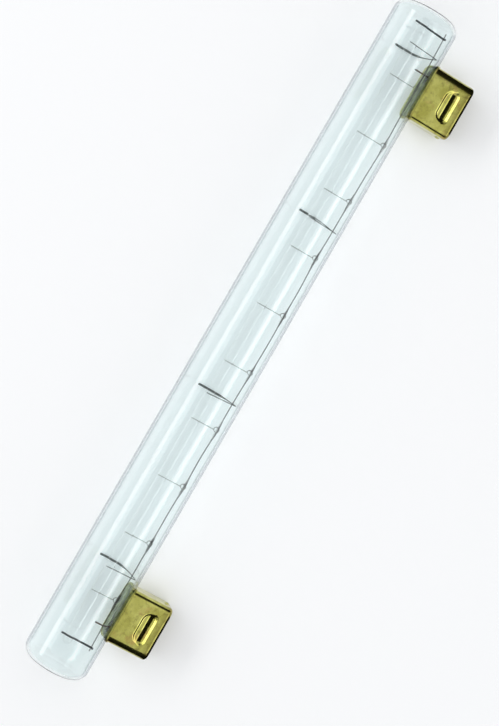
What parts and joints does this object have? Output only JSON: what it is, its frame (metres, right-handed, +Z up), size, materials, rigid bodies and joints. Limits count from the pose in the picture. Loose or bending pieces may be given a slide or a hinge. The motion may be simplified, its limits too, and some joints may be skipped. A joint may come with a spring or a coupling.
{
  "type": "tubular incandescent lamp",
  "caption": "Clear tubular filament lamp, closed at both ends, with a peg cap near each end on one side; it lies on the tube and the caps.",
  "frame": {"origin": "on the surface that the lamp lies on, below the middle of its outline box", "axes": "+X along the tube towards the upper cap, -Y towards the caps, +Z up"},
  "size_m": [0.3, 0.0448, 0.0276],
  "materials": {
    "clear_glass": "clear drawn soda-lime glass",
    "rod_glass": "clear fire-polished glass",
    "cap_brass": "pressed lacquered brass, olive gold",
    "tungsten_coil": "drawn and coiled tungsten wire, dark grey",
    "molybdenum_wire": "drawn molybdenum wire",
    "spring_strip": "rolled nickel strip",
    "post_wire": "drawn nickel-plated wire, dark",
    "lead_wire": "copper-clad drawn wire",
    "solder": "cooled tin solder",
    "cap_cement": "baked basing cement, grey green"
  },
  "bodies": {
    "root": {"glass_tube": "clear_glass", "peg_cap_upper": "cap_brass", "peg_cap_lower": "cap_brass", "filament": "tungsten_coil", "glass_support_rod": "rod_glass", "filament_support_01": "molybdenum_wire", "filament_support_02": "molybdenum_wire", "filament_support_03": "molybdenum_wire", "filament_support_04": "molybdenum_wire", "filament_support_05": "molybdenum_wire", "filament_support_06": "molybdenum_wire", "filament_support_07": "molybdenum_wire", "filament_support_08": "molybdenum_wire", "filament_support_09": "molybdenum_wire", "filament_support_10": "molybdenum_wire", "centring_spring_1": "spring_strip", "centring_spring_2": "spring_strip", "centring_spring_3": "spring_strip", "centring_spring_4": "spring_strip", "end_post_upper": "post_wire", "lead_wire_upper": "lead_wire", "side_seal_upper": "rod_glass", "solder_bead_upper": "solder", "cap_cement_upper": "cap_cement", "end_post_lower": "post_wire", "lead_wire_lower": "lead_wire", "side_seal_lower": "rod_glass", "solder_bead_lower": "solder", "cap_cement_lower": "cap_cement"}
  },
  "joints": []
}
